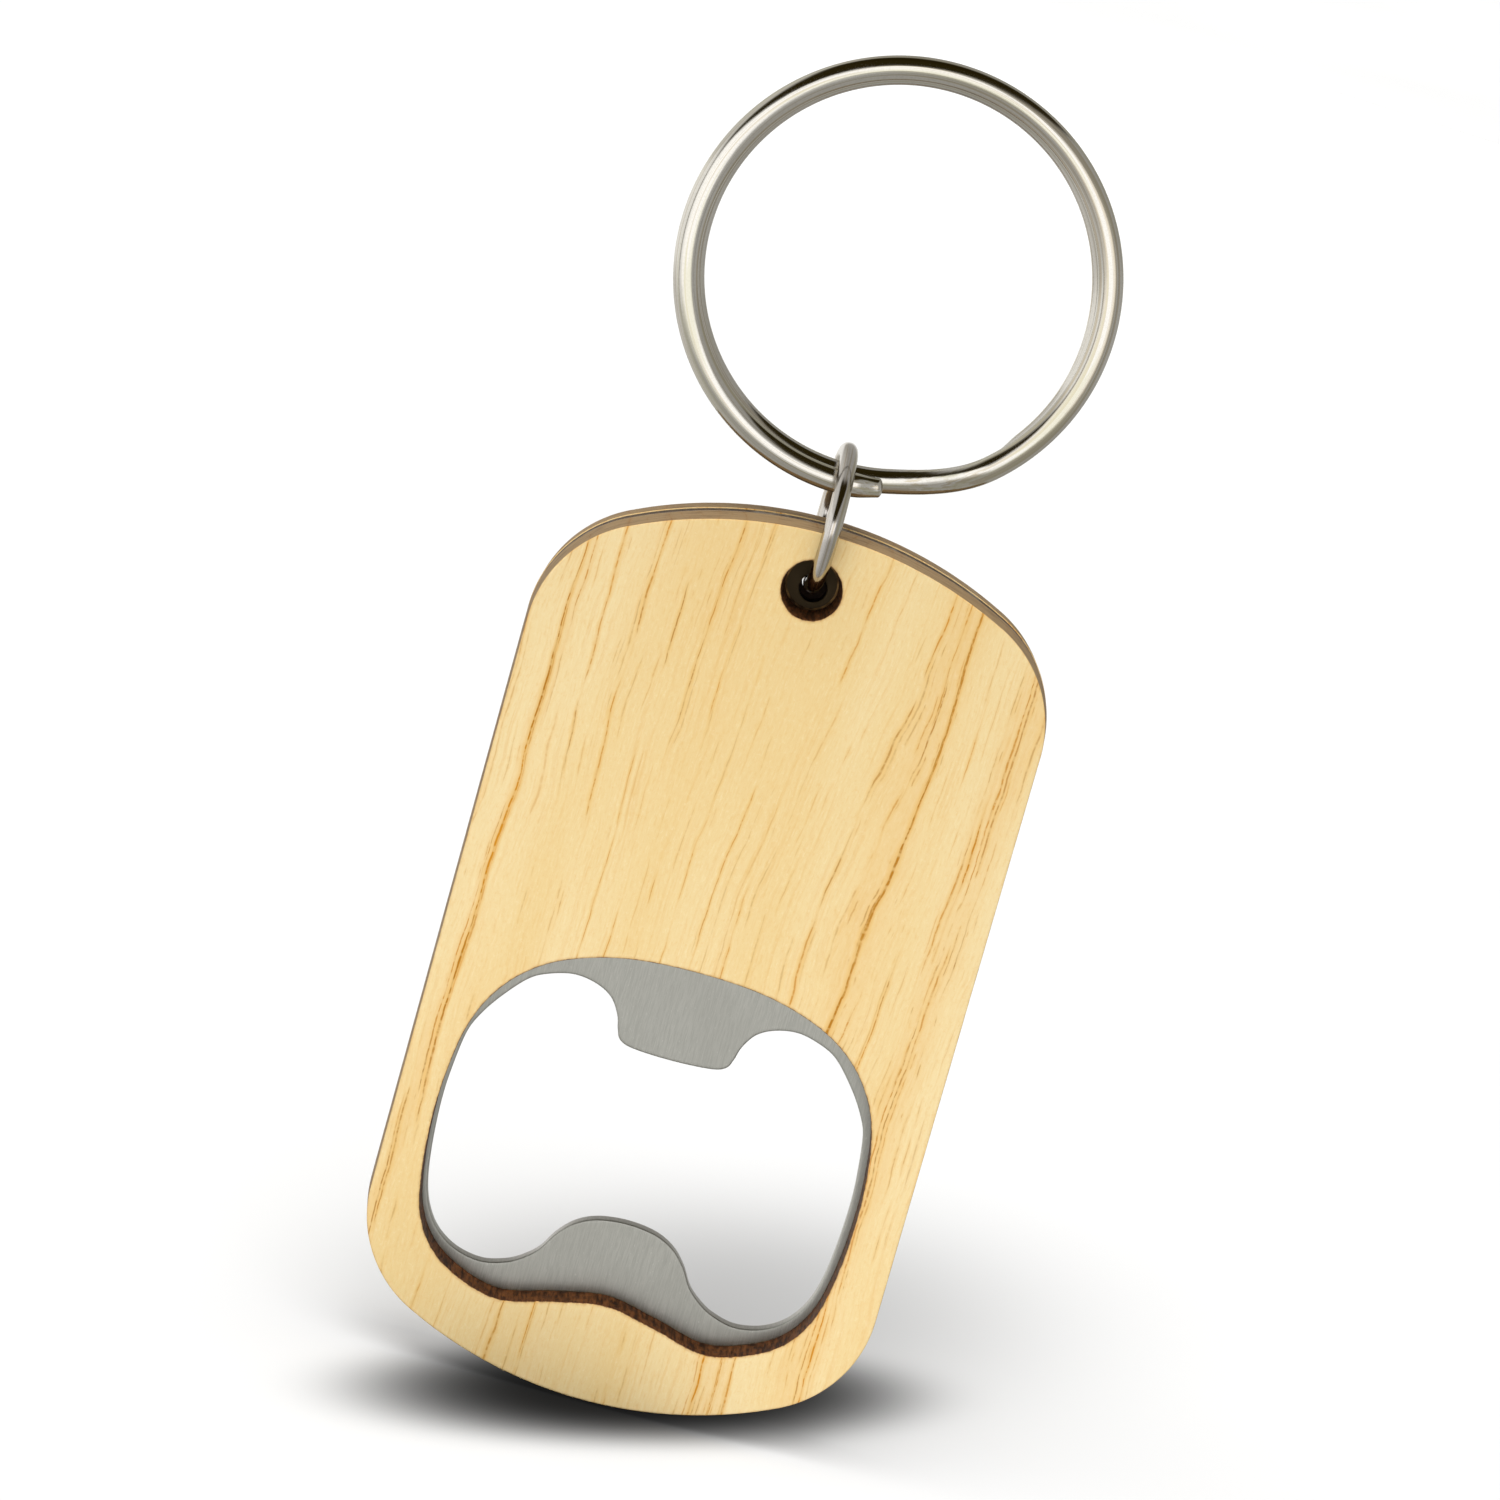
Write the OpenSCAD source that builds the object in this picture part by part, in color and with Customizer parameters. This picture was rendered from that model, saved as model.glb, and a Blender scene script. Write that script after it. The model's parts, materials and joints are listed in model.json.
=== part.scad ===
// Keychain bottle opener: a brushed steel opener plate between two wooden plates,
// carried by a jump ring on a split key ring.
// It hangs along -Z. The origin is the hang point, at the inner top of the key ring.
// +X is to the right, seen from the front, and the front face looks along -Y.

/* [Body] */
// Width of the body
body_w = 36; // [34:0.5:40]
// Height of the body, from its top edge to its bottom edge
body_h = 62.9; // [60:0.1:70]
// Radius of the shallow arc along the top edge and the bottom edge
end_r = 29.5; // [27:0.5:34]
// Radius of the four corners
corner_r = 8.8; // [6:0.2:10]
// Height of the top edge above the centre of the hole
hole_to_top = 4.1; // [3.8:0.1:4.5]
// Thickness of each wooden plate
wood_t = 2.5; // [2.2:0.1:2.8]
// Thickness of the steel plate
steel_t = 1; // [0.8:0.1:1.2]
// Thickness of each adhesive film
film_t = 0.1; // [0.05:0.05:0.15]
// Diameter of the hole in the wooden plates
hole_d = 4; // [3.8:0.1:4.4]
// Diameter of the hole in the steel plate
steel_hole_d = 1.9; // [1.9:0.1:3.2]

/* [Opener mouth] */
// Width of the mouth in the steel plate
mouth_w = 28.9; // [28:0.1:29.2]
// Width of the tooth that hooks under the cap
tooth_w = 8.2; // [7:0.2:9]
// Height of the steel mouth from the tip of the tooth to the top of the bump
grip_h = 12; // [11.2:0.1:12.4]
// How far the steel mouth sits to the left of the middle
mouth_shift = 0.3; // [0:0.1:0.4]
// Turn of the steel mouth in its plate, to the left at the top
mouth_tilt = 0.5; // [0:0.1:1]
// Width of the window in the wooden plates
window_w = 29.6; // [29.4:0.1:30.2]
// Height of the window in the wooden plates
window_h = 25.7; // [25.4:0.1:26.2]
// How far the window sits to the left of the middle
window_shift = 0.2; // [0:0.05:0.3]

/* [Rings] */
// Outer diameter of the split key ring
key_ring_d = 30; // [28:0.5:32]
// Width of the key ring's wire, measured across the ring
key_wire_w = 1.7; // [1.5:0.05:1.75]
// Thickness of the key ring's wire
key_wire_t = 0.85; // [0.75:0.05:0.85]
// How much smaller the rear turn's radius is than the front turn's
turn_step = 0.38; // [0.2:0.02:0.4]
// Outer diameter of the jump ring
jump_ring_d = 10.5; // [10.4:0.1:11.5]
// Diameter of the jump ring's wire
jump_wire_d = 1.2; // [1:0.1:1.3]
// Turn of the jump ring about the vertical
jump_yaw = 2; // [0:0.5:3]

/* [Hidden] */
$fn = 96;

film_setback = 0.4;         // the films end this far inside the wooden edges
steel_setback = 0.05;       // the steel edge lies this far inside the wooden edges
cut_margin = 1;             // how far a cut runs past the faces that it goes through
steel_hole_shift = [0.15, -0.3];  // how far the steel plate's hole sits off the wooden one
film_hole_play = 0.15;      // gap left between the rear film and the jump ring
arc_step = 3;               // degrees between the points of an arc
spline_steps = 5;           // points for each stretch of a smooth outline

wood_color = [0.93, 0.82, 0.58];
steel_color = [0.66, 0.67, 0.65];
nickel_color = [0.78, 0.77, 0.74];
film_color = [0.55, 0.48, 0.36];

body_t = 2 * wood_t + 2 * film_t + steel_t;

// The key ring: one wire in two turns, the front turn and then the rear turn.
turn_gap = 0.04;            // gap between the two turns
section_points = 16;        // points around the wire
section_power = 2.3;        // 2 is an ellipse, more is squarer
front_r = (key_ring_d - key_wire_w) / 2;
rear_r = front_r - turn_step;
key_ring_inner_r = rear_r - key_wire_w / 2;
key_ring_z = -key_ring_inner_r;
wire_pair_r = (front_r + rear_r) / 2;
front_end_angle = 11.5;     // where the front turn ends, from the bottom towards +X
cross_end_angle = 13;       // where the crossing reaches the rear turn
cross_start_angle = 42;     // where the crossing leaves the front turn
rear_end_angle = 44;        // where the rear turn ends
cross_start = front_end_angle - cross_start_angle + 360;
cross_end = front_end_angle - cross_end_angle + 360;
wire_sweep = front_end_angle - rear_end_angle + 720;
rear_flare = 65;            // degrees over which the rear turn widens to its end
pinch_sweep = 9;            // degrees over which each end is pinched thin
round_sweep = 1.2;          // degrees over which each tip is rounded off
pinch_t = 0.55;             // thickness left at a pinched end, as a share of the wire's
pinch_w = 0.75;             // width left at a pinched end, as a share of the wire's

// The jump ring turns round the pair of turns at the bottom of the key ring.
hinge_z = key_ring_z - wire_pair_r;
hinge_clear_r = 1.22;       // inner top of the jump ring above its hinge line
jump_inner_r = jump_ring_d / 2 - jump_wire_d;
jump_z = hinge_z + hinge_clear_r - jump_inner_r;
seam_sweep = 1.4;           // degrees left open at the jump ring's seam
seam_angle = 110;           // where the seam is, at the rear

// The body hangs from its hole, whose upper rims rest on the jump ring.
hole_play = 0.05;           // gap left between the hole and the jump ring
hole_z = jump_z - sqrt(pow(jump_inner_r, 2) - pow(body_t / 2, 2)) - hole_d / 2 + hole_play;
film_wire_z = jump_z - sqrt(pow(jump_inner_r + jump_wire_d / 2, 2) - pow(steel_t / 2, 2));

// The window and the mouth, as heights below the centre of the hole.
window_top = -27.5;
tooth_tip = -34.44;

// ---- Outlines, in X and height above the centre of the hole ----

function arc(centre, r, from, to) =
    let (steps = ceil(abs(to - from) / arc_step))
    [for (i = [0 : steps]) centre + r * [cos(from + (to - from) * i / steps),
                                         sin(from + (to - from) * i / steps)]];

function mirrored_x(points) = [for (i = [len(points) - 1 : -1 : 0]) [-points[i][0], points[i][1]]];

// The body's outline, drawn the given distance inside its true edge.
function body_outline(inset) =
    let (corner_x = body_w / 2 - corner_r,
         rise = sqrt(pow(end_r - corner_r, 2) - pow(corner_x, 2)),
         lean = atan2(rise, corner_x),
         top_centre = hole_to_top - end_r,
         bottom_centre = hole_to_top - body_h + end_r,
         right = concat(
             arc([0, top_centre], end_r - inset, 90, lean),
             arc([corner_x, top_centre + rise], corner_r - inset, lean, 0),
             arc([corner_x, bottom_centre - rise], corner_r - inset, 0, -lean),
             arc([0, bottom_centre], end_r - inset, -lean, -90)))
    distinct(concat(right, mirrored_x(right)));

// Drops each point that lies on the one before it.
function distinct(points) =
    [for (i = [0 : len(points) - 1])
        if (norm(points[i] - points[(i + 1) % len(points)]) > 0.001) points[i]];

// A smooth closed curve through the points.
function smooth_loop(points) =
    let (n = len(points))
    [for (i = [0 : n - 1], k = [0 : spline_steps - 1])
        spline(points[(i + n - 1) % n], points[i], points[(i + 1) % n], points[(i + 2) % n],
               k / spline_steps)];

function spline(a, b, c, d, t) =
    (2 * b + (c - a) * t + (2 * a - 5 * b + 4 * c - d) * t * t
     + (3 * b - a - 3 * c + d) * t * t * t) / 2;

// Joins a right half, from the top of the middle line to its bottom, to its mirror image.
function both_sides(half) =
    let (inner = [for (i = [1 : len(half) - 2]) half[i]])
    concat(half, mirrored_x(inner));

// The window: an arched top, bowed sides, and a low hump between two lobes at the bottom.
function window_outline(grow) =
    let (w = window_w / 2, h = window_h, middle = window_top - h / 2,
         half = [[0, 0.5 * h], [0.33 * w, 0.487 * h], [0.6 * w, 0.441 * h],
                 [0.78 * w, 0.373 * h], [0.9 * w, 0.283 * h], [0.965 * w, 0.18 * h],
                 [0.995 * w, 0.05 * h], [w, -0.065 * h], [0.985 * w, -0.195 * h],
                 [0.942 * w, -0.319 * h], [0.85 * w, -0.41 * h], [0.7 * w, -0.468 * h],
                 [0.493 * w, -0.5 * h], [0.24 * w, -0.467 * h], [0, -0.4416 * h]],
         factor = 1 + grow / w)
    [for (p = smooth_loop(both_sides(half)))
        [p[0] * factor - window_shift, middle + p[1] * factor]];

// The mouth: the tooth at the top, a pocket each side of it, and the bump at the bottom.
function mouth_outline() =
    let (w = mouth_w / 2, t = tooth_w / 2, tip = tooth_tip, bump = tooth_tip - grip_h,
         pocket = tip + 4.05, lobe = bump - 5.2, middle = tip - grip_h / 2,
         half = [[0, tip - 0.08], [0.66 * t, tip + 0.05], [0.91 * t, tip + 0.4],
                 [t, tip + 1.1], [t + 0.3, tip + 2.1], [t + 1.05, tip + 3.2],
                 [t + 2.3, pocket - 0.2], [t + 3.9, pocket], [t + 5.6, pocket - 0.45],
                 [w - 3.55, pocket - 1.15], [w - 2.1, tip + 1.25], [w - 1.05, tip - 0.35],
                 [w - 0.45, tip - 1.85], [w - 0.1, tip - 4.6], [w, tip - 7], [w - 0.15, bump + 1.9],
                 [w - 0.5, bump - 0.7], [w - 1.1, bump - 2.5], [w - 2.1, lobe + 1.3],
                 [w - 3.6, lobe + 0.35], [w - 5.4, lobe], [w - 7, lobe + 0.35],
                 [w - 8.1, lobe + 0.95], [w - 9.1, lobe + 1.85], [w - 9.9, bump - 2.05],
                 [w - 10.95, bump - 0.95], [2.05, bump - 0.25], [0, bump]])
    [for (p = smooth_loop(both_sides(half)))
        [p[0] * cos(mouth_tilt) - (p[1] - middle) * sin(mouth_tilt) - mouth_shift,
         p[0] * sin(mouth_tilt) + (p[1] - middle) * cos(mouth_tilt) + middle]];

// ---- Solids ----

// Stands an outline up in the XZ plane, between two depths along Y.
module upright(from_y, to_y) {
    translate([0, to_y, hole_z])
        rotate([90, 0, 0])
            linear_extrude(to_y - from_y)
                children();
}

// A hole of the given diameter through the body, along Y, off the middle of the wooden one.
module body_hole(d, shift = [0, 0]) {
    translate([shift[0], 0, hole_z + shift[1]])
        rotate([90, 0, 0])
            cylinder(d = d, h = body_t + 2 * cut_margin, center = true);
}

module wood_plate(from_y) {
    difference() {
        upright(from_y, from_y + wood_t)
            difference() {
                polygon(body_outline(0));
                polygon(window_outline(0));
            }
        body_hole(hole_d);
    }
}

module adhesive_film(from_y) {
    upright(from_y, from_y + film_t)
        difference() {
            polygon(body_outline(film_setback));
            polygon(window_outline(film_setback));
        }
}

module front_wood_plate() {
    color(wood_color) wood_plate(-body_t / 2);
}

module rear_wood_plate() {
    color(wood_color) wood_plate(body_t / 2 - wood_t);
}

module front_adhesive_film() {
    color(film_color)
        difference() {
            adhesive_film(-steel_t / 2 - film_t);
            body_hole(hole_d + 2 * film_setback);
        }
}

// The rear film reaches in behind the steel plate's hole and stops just short of the jump ring.
module rear_adhesive_film() {
    color(film_color)
        difference() {
            adhesive_film(steel_t / 2);
            body_hole(jump_wire_d + 2 * film_hole_play, [0, film_wire_z - hole_z]);
        }
}

module steel_opener_plate() {
    color(steel_color)
        difference() {
            upright(-steel_t / 2, steel_t / 2)
                difference() {
                    polygon(body_outline(steel_setback));
                    polygon(mouth_outline());
                }
            body_hole(steel_hole_d, steel_hole_shift);
        }
}

// A round wire bent into a circle, with a fine seam where its ends meet.
module jump_ring() {
    color(nickel_color)
        translate([0, 0, jump_z])
            rotate([0, 0, jump_yaw])
                rotate([0, 90, 0])
                    rotate([0, 0, seam_angle])
                        rotate_extrude(angle = 360 - seam_sweep)
                            translate([(jump_ring_d - jump_wire_d) / 2, 0])
                                circle(d = jump_wire_d, $fn = 48);
}

// ---- The key ring's wire, by the degrees swept from the end of the front turn ----

function ease(x) = let (t = max(0, min(1, x))) t * t * (3 - 2 * t);

function crossing(s) = ease((s - cross_start) / (cross_end - cross_start));

function turn_r(s) =
    front_r - turn_step * crossing(s)
    + 0.85 * turn_step * ease((s - wire_sweep + rear_flare) / rear_flare);

// 0 at either tip of the wire, and 1 a little way in.
function tip_round(s) =
    let (x = min(1, min(s, wire_sweep - s) / round_sweep)) max(0.3, sqrt(x * (2 - x)));

function pinch(s) = ease(min(s, wire_sweep - s) / pinch_sweep);

function signed_power(x, p) = sign(x) * pow(abs(x), p);

function wire_section(s) =
    let (half_w = key_wire_w / 2 * (pinch_w + (1 - pinch_w) * pinch(s)) * tip_round(s),
         half_t = key_wire_t / 2 * (pinch_t + (1 - pinch_t) * pinch(s)) * tip_round(s),
         y = (turn_gap / 2 + half_t) * (2 * crossing(s) - 1),
         angle = front_end_angle - s)
    [for (k = [0 : section_points - 1])
        let (a = 360 * k / section_points,
             r = turn_r(s) + half_w * signed_power(cos(a), 2 / section_power))
        [r * sin(angle),
         y + half_t * signed_power(sin(a), 2 / section_power),
         key_ring_z - r * cos(angle)]];

module key_ring() {
    near_tip = [for (s = [0, 0.15, 0.4, 0.75, 1.2, 3, 5, 7]) s];
    stations = concat(near_tip, [for (i = [0 : 166]) 9 + i * (wire_sweep - 18) / 166],
                      [for (i = [7 : -1 : 0]) wire_sweep - near_tip[i]]);
    n = section_points;
    last = len(stations) - 1;
    points = [for (s = stations) for (p = wire_section(s)) p];
    sides = [for (i = [0 : last - 1], k = [0 : n - 1])
                [i * n + k, i * n + (k + 1) % n, (i + 1) * n + (k + 1) % n, (i + 1) * n + k]];
    front_tip = [for (k = [n - 1 : -1 : 0]) k];
    rear_tip = [for (k = [0 : n - 1]) last * n + k];
    color(nickel_color)
        polyhedron(points, concat(sides, [front_tip, rear_tip]), convexity = 6);
}

front_wood_plate();
front_adhesive_film();
steel_opener_plate();
rear_adhesive_film();
rear_wood_plate();
jump_ring();
key_ring();
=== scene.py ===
import json
import math

import bmesh
import bpy
import numpy as np
from mathutils import Matrix, Vector, geometry


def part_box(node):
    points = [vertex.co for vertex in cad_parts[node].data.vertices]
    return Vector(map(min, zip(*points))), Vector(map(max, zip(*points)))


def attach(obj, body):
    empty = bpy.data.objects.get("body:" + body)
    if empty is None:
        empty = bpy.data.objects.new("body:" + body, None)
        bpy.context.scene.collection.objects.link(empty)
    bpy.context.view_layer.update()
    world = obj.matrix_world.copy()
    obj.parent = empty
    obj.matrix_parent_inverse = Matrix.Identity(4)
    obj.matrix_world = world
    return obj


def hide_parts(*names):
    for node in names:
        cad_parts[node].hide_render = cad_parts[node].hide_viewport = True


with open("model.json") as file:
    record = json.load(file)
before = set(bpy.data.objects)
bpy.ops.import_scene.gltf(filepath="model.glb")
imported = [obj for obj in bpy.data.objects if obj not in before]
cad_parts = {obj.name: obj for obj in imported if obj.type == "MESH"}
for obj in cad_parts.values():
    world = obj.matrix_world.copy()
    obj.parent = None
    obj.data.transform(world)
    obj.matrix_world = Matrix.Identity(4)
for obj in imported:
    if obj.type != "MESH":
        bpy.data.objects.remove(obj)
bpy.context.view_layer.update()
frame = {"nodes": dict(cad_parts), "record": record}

# Lengths are in mm up to the point where a mesh, a lamp or the camera is placed.
MM = 0.001
scene = bpy.context.scene


def linked(name, data):
    """A new object in the scene, for a mesh, a lamp or a camera."""
    o = bpy.data.objects.new(name, data)
    scene.collection.objects.link(o)
    return o


def ease(x):
    """0 below 0, 1 above 1, and a smooth step between."""
    t = np.clip(x, 0, 1)
    return t * t * (3 - 2 * t)


# ---------------------------------------------------------------- outlines from the CAD

SAME_PLACE = 2e-6       # metres: CAD points closer than this are one
STRAIGHT = 3            # a CAD edge this many times longer than its neighbour is a straight side


def rim_loops(node):
    """The closed outlines round a CAD plate's front face, widest first, as (x, z) points."""
    bm = bmesh.new()
    bm.from_mesh(frame["nodes"][node].data)
    bmesh.ops.remove_doubles(bm, verts=bm.verts, dist=SAME_PLACE)
    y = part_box(node)[0].y

    def flat(face):
        return all(abs(v.co.y - y) < SAME_PLACE for v in face.verts)

    ends = {}
    for e in bm.edges:
        if len(e.link_faces) == 2 and flat(e.link_faces[0]) != flat(e.link_faces[1]):
            a, b = (v.index for v in e.verts)
            ends.setdefault(a, []).append(b)
            ends.setdefault(b, []).append(a)
    bm.verts.ensure_lookup_table()
    loops, seen = [], set()
    for start in ends:
        if start in seen:
            continue
        loop, here, before = [], start, None
        while here not in seen:
            seen.add(here)
            loop.append((bm.verts[here].co.x / MM, bm.verts[here].co.z / MM))
            onward = [k for k in ends[here] if k != before and k not in seen]
            before = here
            if not onward:
                break
            here = onward[0]
        loops.append(np.array(loop))
    bm.free()
    return sorted(loops, key=lambda p: -np.ptp(p[:, 0]))


def area2(p):
    """Twice the area inside a closed loop, positive if it runs anticlockwise."""
    q = np.roll(p, -1, 0)
    return float(np.sum(p[:, 0] * q[:, 1] - q[:, 0] * p[:, 1]))


def smooth(points, step):
    """The closed outline through the points, as a smooth curve with a point about every step mm."""
    p = points if area2(points) > 0 else points[::-1]
    q = np.roll(p, -1, 0)
    length = np.linalg.norm(q - p, axis=1)
    unit = (q - p) / length[:, None]
    before_l, before_u = np.roll(length, 1), np.roll(unit, 1, 0)
    tangent = unit * before_l[:, None] + before_u * length[:, None]
    leaving, arriving = length > STRAIGHT * before_l, before_l > STRAIGHT * length
    tangent[leaving] = unit[leaving]
    tangent[arriving] = before_u[arriving]
    tangent /= np.linalg.norm(tangent, axis=1)[:, None]
    after = np.roll(tangent, -1, 0)
    out = []
    for i in range(len(p)):
        n = max(1, int(round(length[i] / step)))
        for t in np.arange(n) / n:
            h = (2 * t**3 - 3 * t**2 + 1, t**3 - 2 * t**2 + t, -2 * t**3 + 3 * t**2, t**3 - t**2)
            out.append(h[0] * p[i] + h[1] * length[i] * tangent[i]
                       + h[2] * q[i] + h[3] * length[i] * after[i])
    return np.array(out)


def circle_of(points, n):
    """A round loop of n points, with the middle and the width of the given ones."""
    c = (points.min(0) + points.max(0)) / 2
    r = np.ptp(points[:, 0]) / 2
    a = np.arange(n) * 2 * math.pi / n
    return np.stack([c[0] + r * np.cos(a), c[1] + r * np.sin(a)], 1)


def normals(p):
    """Unit normals that point outwards from an anticlockwise loop."""
    t = np.roll(p, -1, 0) - np.roll(p, 1, 0)
    t /= np.linalg.norm(t, axis=1)[:, None]
    return np.stack([t[:, 1], -t[:, 0]], 1)


def ripple(p, waves, seed):
    """A repeatable uneven number from -1 to 1 for each point of a closed loop. It adds up five
    waves of about each length, and waves holds those lengths with their shares."""
    s = np.concatenate([[0], np.cumsum(np.linalg.norm(np.diff(p, axis=0), axis=1))])
    total = s[-1] + np.linalg.norm(p[0] - p[-1])
    r = np.random.default_rng(seed)
    out = np.zeros(len(p))
    for wave, share in waves:
        for _ in range(5):
            k = max(1, round(total / wave * r.uniform(0.7, 1.4)))
            out += share / 5 * np.sin(2 * math.pi * k * s / total + r.uniform(0, 2 * math.pi))
    return out


def inside(loop, pts):
    """Which of the points lie inside a closed loop."""
    x, z = pts[:, 0], pts[:, 1]
    hit = np.zeros(len(pts), bool)
    for (x0, z0), (x1, z1) in zip(loop, np.roll(loop, -1, 0)):
        if z0 != z1:
            crossing = (z0 > z) != (z1 > z)
            hit ^= crossing & (x < (x1 - x0) * (z - z0) / (z1 - z0) + x0)
    return hit


# ---------------------------------------------------------------- plates

OUTER_CHAR = 0.45       # the outside edge is less burnt than the edges of the holes


def face_triangles(rings, verts, facing):
    """Triangles over a plate's flat face, between its outside and its holes. rings holds each
    loop's vertex numbers, and facing is -1 for the front face and 1 for the rear one."""
    flat_ids = [i for ring in rings for i in ring]
    pts = [Vector((verts[i][0], verts[i][2])) for i in flat_ids]
    edges, at = [], 0
    for ring in rings:
        edges += [(at + j, at + (j + 1) % len(ring)) for j in range(len(ring))]
        at += len(ring)
    found = geometry.delaunay_2d_cdt(pts, edges, [], 1, 1e-7)
    xz = np.array([(p.x, p.y) for p in found[0]])
    tri = np.array([t for t in found[2] if len(t) == 3])
    centre = xz[tri].mean(1)
    outlines = [np.array([(verts[i][0], verts[i][2]) for i in ring]) for ring in rings]
    keep = inside(outlines[0], centre)
    for hole in outlines[1:]:
        keep &= ~inside(hole, centre)
    out = []
    for t in tri[keep]:
        ids = [flat_ids[found[3][v][0]] for v in t]
        a, b, c = (xz[v] for v in t)
        turn = (b[0] - a[0]) * (c[1] - a[1]) - (b[1] - a[1]) * (c[0] - a[0])
        if (turn > 0) != (facing < 0):
            ids.reverse()
        out.append(tuple(ids))
    return out


def plate(name, loops, y0, y1, profile, wall_slots, rough_wall=None):
    """A plate between the depths y0 and y1. loops[0] is its outside, the rest are holes.
    profile is a list of (inset, depth, char) rows from the front face round the edge to the middle
    of the wall, and is mirrored for the rear. wall_slots holds each wall's material slot.
    rough_wall(loop number, y, loop) gives how far the wall stands back into the material there."""
    verts, chars, faces, slots = [], [], [], []
    front_rings, rear_rings = [], []
    rows = [(inset, y0 + depth, char) for inset, depth, char in profile]
    rows += [(inset, y1 - depth, char) for inset, depth, char in reversed(profile)]
    for k, loop in enumerate(loops):
        into = normals(loop) * (1 if k else -1)
        m = len(loop)
        start = len(verts)
        for inset, y, char in rows:
            push = np.full(m, float(inset))
            if rough_wall is not None:
                push = push + rough_wall(k, y, loop)
            verts += [(x, y, z) for x, z in loop + into * push[:, None]]
            chars += [char if k else char * OUTER_CHAR] * m
        for r in range(len(rows) - 1):
            wall = rows[r][2] >= 1 and rows[r + 1][2] >= 1
            for j in range(m):
                a, b = start + r * m + j, start + r * m + (j + 1) % m
                faces.append((a, b, b + m, a + m) if k else (a, a + m, b + m, b))
                slots.append(wall_slots[k] if wall else 0)
        front_rings.append(list(range(start, start + m)))
        rear_rings.append(list(range(start + (len(rows) - 1) * m, start + len(rows) * m)))
    for rings, facing in ((front_rings, -1), (rear_rings, 1)):
        triangles = face_triangles(rings, verts, facing)
        faces += triangles
        slots += [0] * len(triangles)
    me = bpy.data.meshes.new(name)
    me.from_pydata([(x * MM, y * MM, z * MM) for x, y, z in verts], [], faces)
    me.polygons.foreach_set("material_index", slots)
    me.polygons.foreach_set("use_smooth", [True] * len(faces))
    me.attributes.new("char", "FLOAT", "POINT").data.foreach_set("value", chars)
    me.validate()
    me.update()
    return linked(name, me)


def node_y(node):
    """The depths of a CAD plate's front and rear faces."""
    lo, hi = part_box(node)
    return lo.y / MM, hi.y / MM


def node_loops(node, step, hole_points):
    """A CAD plate's outlines, smoothed, with its round hole last."""
    loops = rim_loops(node)
    return [smooth(p, step) for p in loops[:-1]] + [circle_of(loops[-1], hole_points)]


WOOD_PROFILE = [(0.6, 0, 0.0), (0.3, 0, 0.03), (0.16, 0, 0.2), (0.085, 0.0, 0.42),
                (0.035, 0.012, 0.7), (0.008, 0.04, 1), (0, 0.1, 1), (0, 0.35, 1), (0, 0.65, 1),
                (0, 1.0, 1), (0, 1.2, 1)]
STEEL_PROFILE = [(0.5, 0, 0.0), (0.25, 0, 0.05), (0.12, 0, 0.3), (0.08, 0.004, 0.8),
                 (0.035, 0.025, 0.9), (0.01, 0.055, 0.95), (0, 0.1, 1), (0, 0.3, 1), (0, 0.45, 1)]
FILM_PROFILE = [(0.2, 0, 0), (0.03, 0, 1), (0, 0.02, 1), (0, 0.045, 1)]


def wood_plate(node, seed, outer_face):
    """A wooden plate whose cut edges are a little uneven. Its outside leans in towards the outer
    face, and its round hole narrows towards the steel."""
    y0, y1 = node_y(node)
    loops = node_loops(node, 0.22, 128)
    # for the outside, the window and the round hole: how far the wall stands back at the outer
    # face, how far it stands out at the steel, and how uneven it is
    back, out, uneven = (0.14, 0.05, 0.05), (0, 0, 0.22), (0.01, 0.012, 0.02)
    window, low_uneven = 1, 0.03        # the lower end of the window is more uneven

    wobble = [ripple(p, [(6, 0.5), (1.6, 0.3), (0.55, 0.35)], seed + 10 * k)
              for k, p in enumerate(loops)]
    grit = [ripple(p, [(0.5, 0.6), (0.28, 0.4)], seed + 5 + 10 * k) for k, p in enumerate(loops)]

    def rough(k, y, loop):
        depth = abs(y - outer_face) / (y1 - y0)          # 0 at the outer face, 1 at the steel
        lean = back[k] * (1 - depth) - out[k] * depth
        amount = uneven[k]
        if k == window:
            z = loop[:, 1]
            amount = amount + low_uneven * ease((-0.35 * np.ptp(z) + z.mean() - z) / 4 + 1)
        soft, sharp = 0.6 * (wobble[k] + 1), 0.5 * np.maximum(grit[k], 0) * (1 - 0.6 * depth)
        return lean + amount * (soft + sharp)

    return plate(node.replace("_plate", ""), loops, y0, y1, WOOD_PROFILE, (1, 2, 2), rough)


def round_hole(loop, middle, radius):
    """A round loop moved to a new middle and given a new radius."""
    return middle + (loop - loop.mean(0)) * radius * 2 / np.ptp(loop[:, 0])


# ---------------------------------------------------------------- rings

def sweep(name, sections):
    """A tube with closed ends through the sections, each a ring of as many points."""
    n = sections.shape[1]
    faces = []
    for i in range(len(sections) - 1):
        for k in range(n):
            a, b = i * n + k, i * n + (k + 1) % n
            faces.append((a, b, b + n, a + n))
    last = (len(sections) - 1) * n
    faces.append(tuple(range(n - 1, -1, -1)))
    faces.append(tuple(range(last, last + n)))
    me = bpy.data.meshes.new(name)
    me.from_pydata([tuple(v) for v in sections.reshape(-1, 3) * MM], [], faces)
    me.polygons.foreach_set("use_smooth", [True] * len(faces))
    me.validate()
    me.update()
    bm = bmesh.new()
    bm.from_mesh(me)
    bmesh.ops.recalc_face_normals(bm, faces=bm.faces)
    bm.to_mesh(me)
    bm.free()
    return linked(name, me)


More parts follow.
